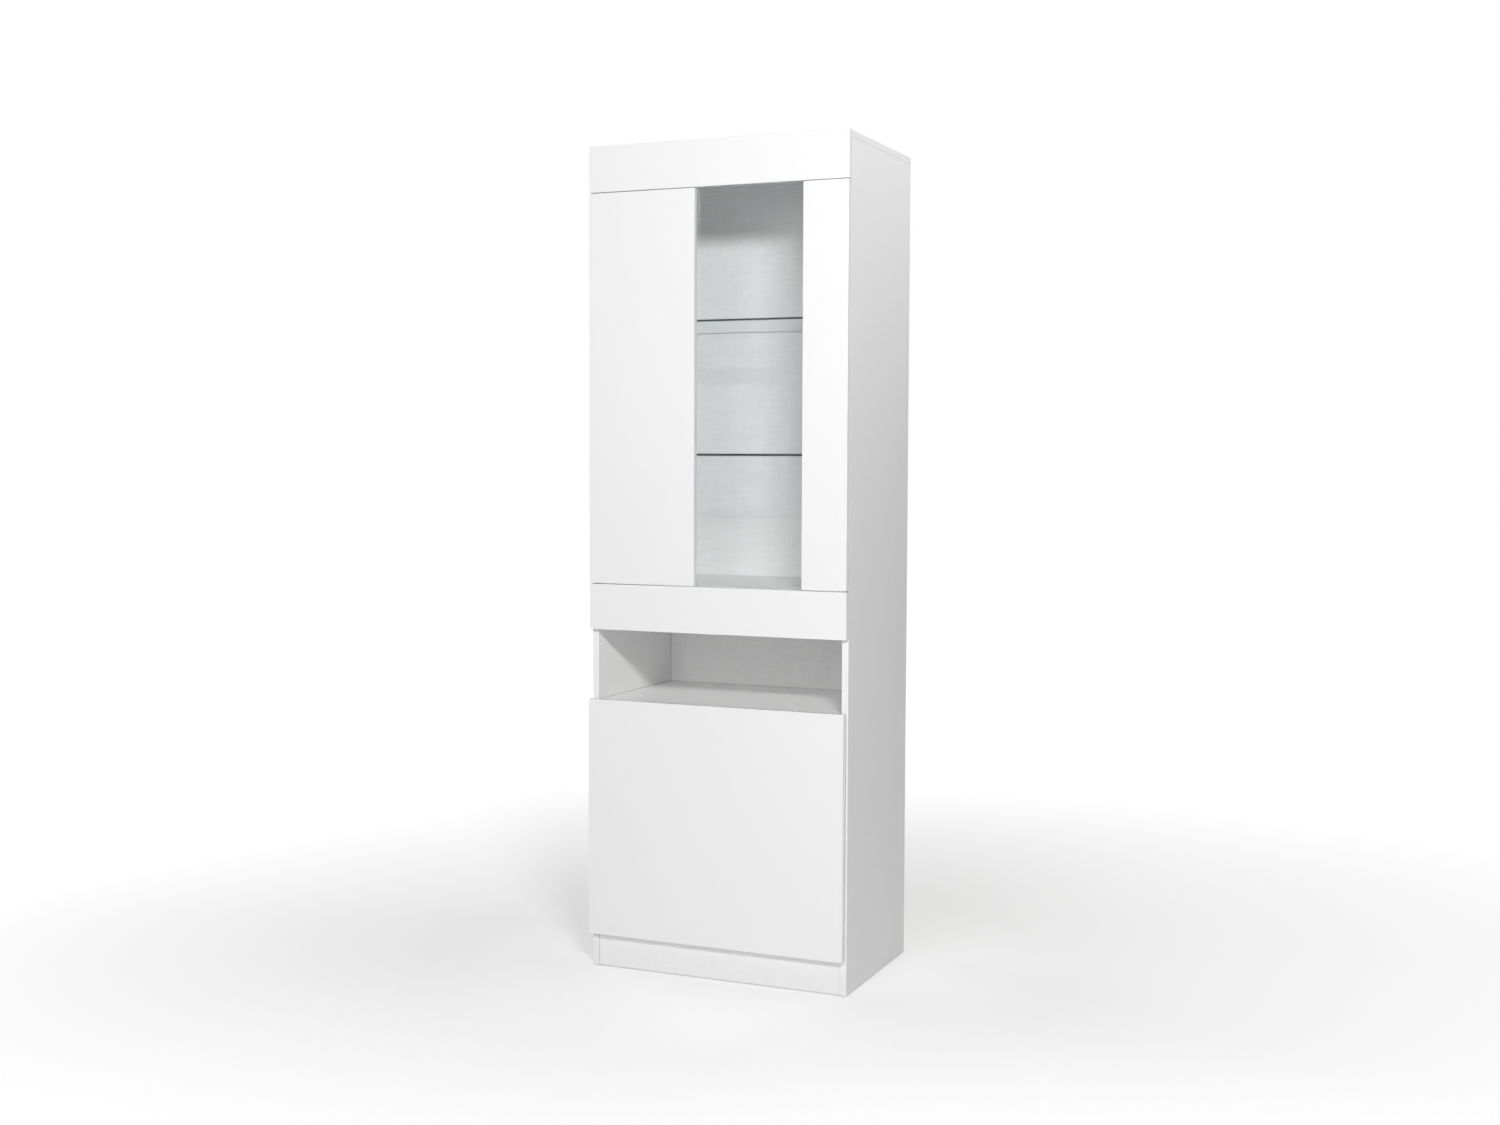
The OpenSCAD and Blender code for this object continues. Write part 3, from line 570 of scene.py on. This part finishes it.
def lathe(bm, rings, matrix, segments):
    """A closed skin over rings. Each ring is a function from an angle to (radius, height)."""
    angles = [2 * math.pi * i / segments for i in range(segments)]
    rows = []
    for ring in rings:
        points = [ring(a) for a in angles]
        rows.append([
            bm.verts.new(matrix @ Vector((r * math.cos(a), r * math.sin(a), h)))
            for a, (r, h) in zip(angles, points)
        ])
    for lower, upper in zip(rows, rows[1:]):
        for i in range(segments):
            j = (i + 1) % segments
            face = bm.faces.new((lower[i], lower[j], upper[j], upper[i]))
            face.smooth = True
    for row in (rows[0], rows[-1]):
        centre = bm.verts.new(sum((v.co for v in row), Vector()) / segments)
        for i in range(segments):
            face = bm.faces.new((row[i], row[(i + 1) % segments], centre))
            face.smooth = True


def plain_ring(radius, height):
    return lambda angle: (radius, height)


def clamp(value):
    return min(max(value, 0.0), 1.0)


# The rings in one turn of a thread, and the sides of a screw's ring
THREAD_STEPS = 6
SCREW_SIDES = 32
# The cross recess: its depth, its half width, half length and slope as shares of the head's radius, and
# the rings that the head's top has, as shares of the same
RECESS_DEPTH = 0.0011
RECESS_HALF_WIDTH = 0.13
RECESS_HALF_LENGTH = 0.55
RECESS_SLOPE = 0.14
RECESS_SHARES = (0.08, 0.16, 0.24, 0.32, 0.4, 0.48, 0.56, 0.66, 0.78, 0.9)
# How far a head is domed, as a share of its height, and how late the dome falls off
HEAD_DOMING = 0.45
DOME_POWER = 2.5
# Pitch, and the core's share of the thread's radius
WOOD_PITCH = 0.0016
WOOD_CORE = 0.70
MACHINE_PITCH = 0.0007
MACHINE_CORE = 0.86
# Where a thread starts under the head, and the length of a wood screw's point and of a machine screw's end
THREAD_START = 0.0008
POINT_LENGTH = 0.0022
BLUNT_LENGTH = 0.0006
# A point of the screw that is wider than this share of its widest belongs to the head
HEAD_SHARE = 0.9
# The head's side, as shares of its radius and of its height, and the neck under it, as shares of the
# shank's radius, each with its height
HEAD_SIDE = ((0.97, 0.48), (1.0, 0.34), (1.0, 0.08), (0.97, 0.0))
NECK = ((0.9, 0.0), (0.82, 0.0003))
# A wood screw's point: its shoulder as a share of the core's radius, how far before the end that is,
# and the end's radius
SHOULDER_SHARE = 0.6
SHOULDER_LENGTH = 0.0009
TIP_RADIUS = 0.0001
# A machine screw's end, as shares of the core's radius
BLUNT_SHARES = (0.8, 0.3)
# A set screw's thread starts and ends this far from its ends, and its far end narrows to this share
SET_THREAD_START = 0.0004
SET_THREAD_END = 0.0005
SET_END_SHARE = 0.75


def thread_ring(core, crest, height, pitch):
    """One ring of a screw thread, whose ridge climbs by one pitch in a turn."""
    def ring(angle):
        turn = (height / pitch - angle / (2 * math.pi)) % 1.0
        ridge = clamp(1.0 - abs(2.0 * turn - 1.0) * 2.0)
        return core + (crest - core) * ridge, height
    return ring


def thread(core, crest, start, end, pitch):
    """The rings of a thread from one height to another."""
    steps = int((end - start) / pitch * THREAD_STEPS)
    return [thread_ring(core, crest, start + i * pitch / THREAD_STEPS, pitch) for i in range(steps + 1)]


def recess_ring(radius, head_radius, head_height):
    """One ring of a domed head with a cross-shaped recess in its middle."""
    half_width = head_radius * RECESS_HALF_WIDTH
    half_length = head_radius * RECESS_HALF_LENGTH
    slope = head_radius * RECESS_SLOPE

    def ring(angle):
        near = min(abs(radius * math.cos(angle)), abs(radius * math.sin(angle)))
        far = max(abs(radius * math.cos(angle)), abs(radius * math.sin(angle)))
        cut = clamp((half_width - near) / slope + 1.0) * clamp((half_length - far) / slope + 1.0)
        dome = head_height * (1.0 - HEAD_DOMING * (radius / head_radius) ** DOME_POWER)
        return radius, -dome + RECESS_DEPTH * cut
    return ring


def add_headed_screw(bm, part, wide, pitch, core_share, pointed):
    """A cross-head screw, from its head's underside at height 0 to its tip."""
    head_side = 1 if max(part.radii_at(part.high)) > HEAD_SHARE * wide else -1
    tip = part.low if head_side > 0 else part.high
    shank = max(part.radii_at(tip))
    head_places = [p[part.axis] for p in part.points if part.radius(p) > HEAD_SHARE * wide]
    under_head = min(head_places) if head_side > 0 else max(head_places)
    length = abs(tip - under_head)
    head = max(head_places) - min(head_places)
    core = shank * core_share
    rings = [recess_ring(wide * share, wide, head) for share in RECESS_SHARES]
    rings += [plain_ring(wide * share, -head * height) for share, height in HEAD_SIDE]
    rings += [plain_ring(shank * share, height) for share, height in NECK]
    taper = POINT_LENGTH if pointed else BLUNT_LENGTH
    rings += thread(core, shank, THREAD_START, length - taper - pitch / THREAD_STEPS, pitch)
    rings.append(plain_ring(core, length - taper))
    if pointed:
        rings.append(plain_ring(core * SHOULDER_SHARE, length - SHOULDER_LENGTH))
        rings.append(plain_ring(TIP_RADIUS, length))
    else:
        rings += [plain_ring(core * share, length) for share in BLUNT_SHARES]
    lathe(bm, rings, part.frame_at(under_head, -head_side), SCREW_SIDES)


def add_wood_screw(bm, points):
    """A pointed cross-head screw in the place of one plain CAD screw."""
    part = Turned(points)
    add_headed_screw(bm, part, part.widest(), WOOD_PITCH, WOOD_CORE, True)


def add_machine_screw(bm, points):
    """A hinge screw: with a head, or a headless set screw with its recess in the end at +x."""
    part = Turned(points)
    wide = part.widest()
    if min(max(part.radii_at(part.low)), max(part.radii_at(part.high))) < HEAD_SHARE * wide:
        add_headed_screw(bm, part, wide, MACHINE_PITCH, MACHINE_CORE, False)
        return
    length = part.high - part.low
    core = wide * MACHINE_CORE
    rings = [recess_ring(core * share, core, 0.0) for share in RECESS_SHARES]
    rings.append(plain_ring(core, 0.0))
    rings += thread(core, wide, SET_THREAD_START, length - SET_THREAD_END, MACHINE_PITCH)
    rings.append(plain_ring(core, length - SET_THREAD_START))
    rings.append(plain_ring(core * SET_END_SHARE, length))
    lathe(bm, rings, part.frame_at(part.high, -1), SCREW_SIDES)


# The flutes round a dowel, their depth as a share of its radius, where along it the fluted rings are,
# and the sides of a ring
FLUTES = 20
FLUTE_DEPTH = 0.045
FLUTE_PLACES = (0.08, 0.5, 0.92)
DOWEL_SIDES = 4 * FLUTES
# A dowel's chamfer: the radii where it ends and where it starts, as shares of the dowel's, and its length
DOWEL_END = 0.72
DOWEL_SHOULDER = 0.93
DOWEL_CHAMFER = 0.0014


def add_dowel(bm, points):
    """A fluted dowel with chamfered ends."""
    part = Turned(points)
    radius = part.widest()
    length = part.high - part.low

    def fluted(share):
        def ring(angle):
            depth = FLUTE_DEPTH * (0.5 + 0.5 * math.cos(FLUTES * angle))
            return radius * (1.0 - depth), length * share
        return ring

    end = radius * DOWEL_END
    shoulder = radius * DOWEL_SHOULDER
    rings = [plain_ring(end, 0.0), plain_ring(shoulder, DOWEL_CHAMFER)]
    rings += [fluted(share) for share in FLUTE_PLACES]
    rings += [plain_ring(shoulder, length - DOWEL_CHAMFER), plain_ring(end, length)]
    lathe(bm, rings, part.frame_at(part.low, 1), DOWEL_SIDES)


# A buffer's dome: the angles of its rings in degrees, its upright foot as a share of its height, how much
# of its radius is left out of the dome's curve, the radius of its top, and the sides of a ring
DOME_ANGLES = (12, 25, 40, 55, 70, 82)
BUFFER_FOOT = 0.12
BUFFER_FLAT = 0.35
BUFFER_TOP = 0.2
BUFFER_SIDES = 40


def add_buffer(bm, points):
    """A domed self-adhesive buffer."""
    part = Turned(points)
    radius = part.widest()
    height = part.high - part.low
    rings = [plain_ring(radius, 0.0), plain_ring(radius, height * BUFFER_FOOT)]
    for angle in DOME_ANGLES:
        across = BUFFER_FLAT + (1.0 - BUFFER_FLAT) * math.cos(math.radians(angle))
        up = BUFFER_FOOT + (1.0 - BUFFER_FOOT) * math.sin(math.radians(angle))
        rings.append(plain_ring(radius * across, height * up))
    rings.append(plain_ring(radius * BUFFER_TOP, height))
    lathe(bm, rings, part.frame_at(part.low, 1), BUFFER_SIDES)


SMALL_PARTS = (
    (add_wood_screw, "nickel", (
        "fascia_bracket_screws", "wall_bracket_screws", "upper_plate_screws", "lower_plate_screws",
        "upper_cup_screws", "lower_cup_screws", "glass_clip_screws")),
    (add_machine_screw, "nickel", ("upper_arm_screws", "lower_arm_screws")),
    (add_dowel, "beech", ("fascia_dowels", "carcass_dowels")),
    (add_buffer, "clear_rubber", ("upper_door_bumpers", "lower_door_bumpers")),
)

for add_part, finish, nodes in SMALL_PARTS:
    for node in nodes:
        bm = bmesh.new()
        for points in solids(node):
            add_part(bm, points)
        finish_piece(bm, node + "_look", node, finish)


def glass_plate(node, edge, chamfer):
    """A plate of glass with ground chamfers and green edges."""
    lo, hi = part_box(node)
    size = hi - lo
    thin = min(range(3), key=lambda i: size[i])
    place = Matrix.Translation((lo + hi) / 2) @ Matrix.Diagonal((*size, 1.0))
    bm = bmesh.new()
    bmesh.ops.create_cube(bm, size=1.0, matrix=place)
    bmesh.ops.bevel(
        bm, geom=list(bm.edges), offset=chamfer, offset_type="OFFSET", segments=1,
        affect="EDGES", profile=0.5, clamp_overlap=True)
    bm.normal_update()
    for face in bm.faces:
        face.material_index = 0 if abs(face.normal[thin]) > FACING else 1
    finish_piece(bm, node + "_look", node, "clear_glass", edge)


glass_plate("upper_door_glass", "pane_edge", PANE_CHAMFER)
for node in ("glass_shelf_upper", "glass_shelf_lower"):
    glass_plate(node, "shelf_edge", SHELF_CHAMFER)


# ======== Studio ========

def straight_ray(tree, depth):
    """1 for what the camera sees directly or through glass alone, else 0. A ray straight from the
    camera has this depth where it is asked: 0 at a surface, and 1 at the world."""
    path = tree.nodes.new("ShaderNodeLightPath")
    turned = tree.nodes.new("ShaderNodeMath")
    turned.operation = "SUBTRACT"
    tree.links.new(path.outputs["Ray Depth"], turned.inputs[0])
    tree.links.new(path.outputs["Transmission Depth"], turned.inputs[1])
    straight = tree.nodes.new("ShaderNodeMath")
    straight.operation = "LESS_THAN"
    tree.links.new(turned.outputs[0], straight.inputs[0])
    # Depths are whole numbers, so halfway to the next one is a safe limit
    straight.inputs[1].default_value = depth + 0.5
    return straight.outputs[0]


def make_floor():
    """A pale floor that turns to white away from the object, as an evenly lit sweep does."""
    mesh = bpy.data.meshes.new("studio_floor")
    corners = [(x, y, 0.0) for x, y in ((-1, -1), (1, -1), (1, 1), (-1, 1))]
    mesh.from_pydata([Vector(corner) * FLOOR_HALF for corner in corners], [], [(0, 1, 2, 3)])
    f = Finish("floor_paint", grey(0.76), 0.9, Emission_Color=(1.0, 1.0, 1.0, 1.0))
    f.set("Base Color", f.tones(f.noise(0.8, 2.0), (0.3, grey(0.75)), (0.7, grey(0.77))))
    away = f.node("VectorMath", {0: f.place}, "Value", operation="LENGTH")
    glow = f.ranged(away, FLOOR_GLOW, FLOOR_GLOW_FAR, FLOOR_NEAR, FLOOR_FAR)
    path = f.tree.nodes.new("ShaderNodeLightPath")
    seen = f.sum(glow, straight_ray(f.tree, 0), "MULTIPLY")
    mirrored = f.sum(path.outputs["Is Glossy Ray"], ROOM_REFLECTED, "MULTIPLY")
    f.set("Emission Strength", f.sum(seen, mirrored))
    mesh.materials.append(f.material)
    obj = bpy.data.objects.new("studio_floor", mesh)
    bpy.context.scene.collection.objects.link(obj)


def make_world():
    """A white studio: dim as a lamp, brighter in the object's gloss, and white where the camera sees it."""
    world = bpy.data.worlds.new("studio")
    bpy.context.scene.world = world
    world.use_nodes = True
    tree = world.node_tree

    def white(strength):
        light = tree.nodes.new("ShaderNodeBackground")
        light.inputs["Color"].default_value = (1.0, 1.0, 1.0, 1.0)
        light.inputs["Strength"].default_value = strength
        return light.outputs[0]

    def switched(factor, off, on):
        mix = tree.nodes.new("ShaderNodeMixShader")
        for target, source in zip(mix.inputs, (factor, off, on)):
            tree.links.new(source, target)
        return mix.outputs[0]

    path = tree.nodes.new("ShaderNodeLightPath")
    shown = switched(path.outputs["Is Glossy Ray"], white(ROOM_LIGHT), white(ROOM_REFLECTED))
    shown = switched(straight_ray(tree, 1), shown, white(BACKDROP_WHITE))
    tree.links.new(shown, tree.nodes["World Output"].inputs["Surface"])


def make_soft_box(name, place, aim, width, height, watts):
    light = bpy.data.lights.new(name, "AREA")
    light.shape = "RECTANGLE"
    light.size = width
    light.size_y = height
    light.energy = watts
    obj = bpy.data.objects.new(name, light)
    obj.location = place
    obj.rotation_euler = (Vector(aim) - Vector(place)).to_track_quat("-Z", "Y").to_euler()
    obj.visible_camera = False
    bpy.context.scene.collection.objects.link(obj)


def make_camera():
    camera = bpy.data.cameras.new("camera")
    camera.lens = CAMERA_LENS_MM
    camera.sensor_width = CAMERA_SENSOR_MM
    camera.clip_end = CAMERA_REACH
    obj = bpy.data.objects.new("camera", camera)
    turn = (
        Matrix.Rotation(math.radians(CAMERA_YAW), 4, "Z")
        @ Matrix.Rotation(math.radians(90.0 + CAMERA_PITCH), 4, "X")
        @ Matrix.Rotation(math.radians(CAMERA_ROLL), 4, "Z")
    )
    obj.matrix_world = Matrix.Translation(CAMERA_PLACE) @ turn
    bpy.context.scene.collection.objects.link(obj)
    bpy.context.scene.camera = obj


make_floor()
make_world()
for name, settings in SOFT_BOXES.items():
    make_soft_box(name, *settings)
make_camera()
bpy.context.scene.view_settings.view_transform = "Standard"
bpy.context.scene.view_settings.gamma = VIEW_GAMMA
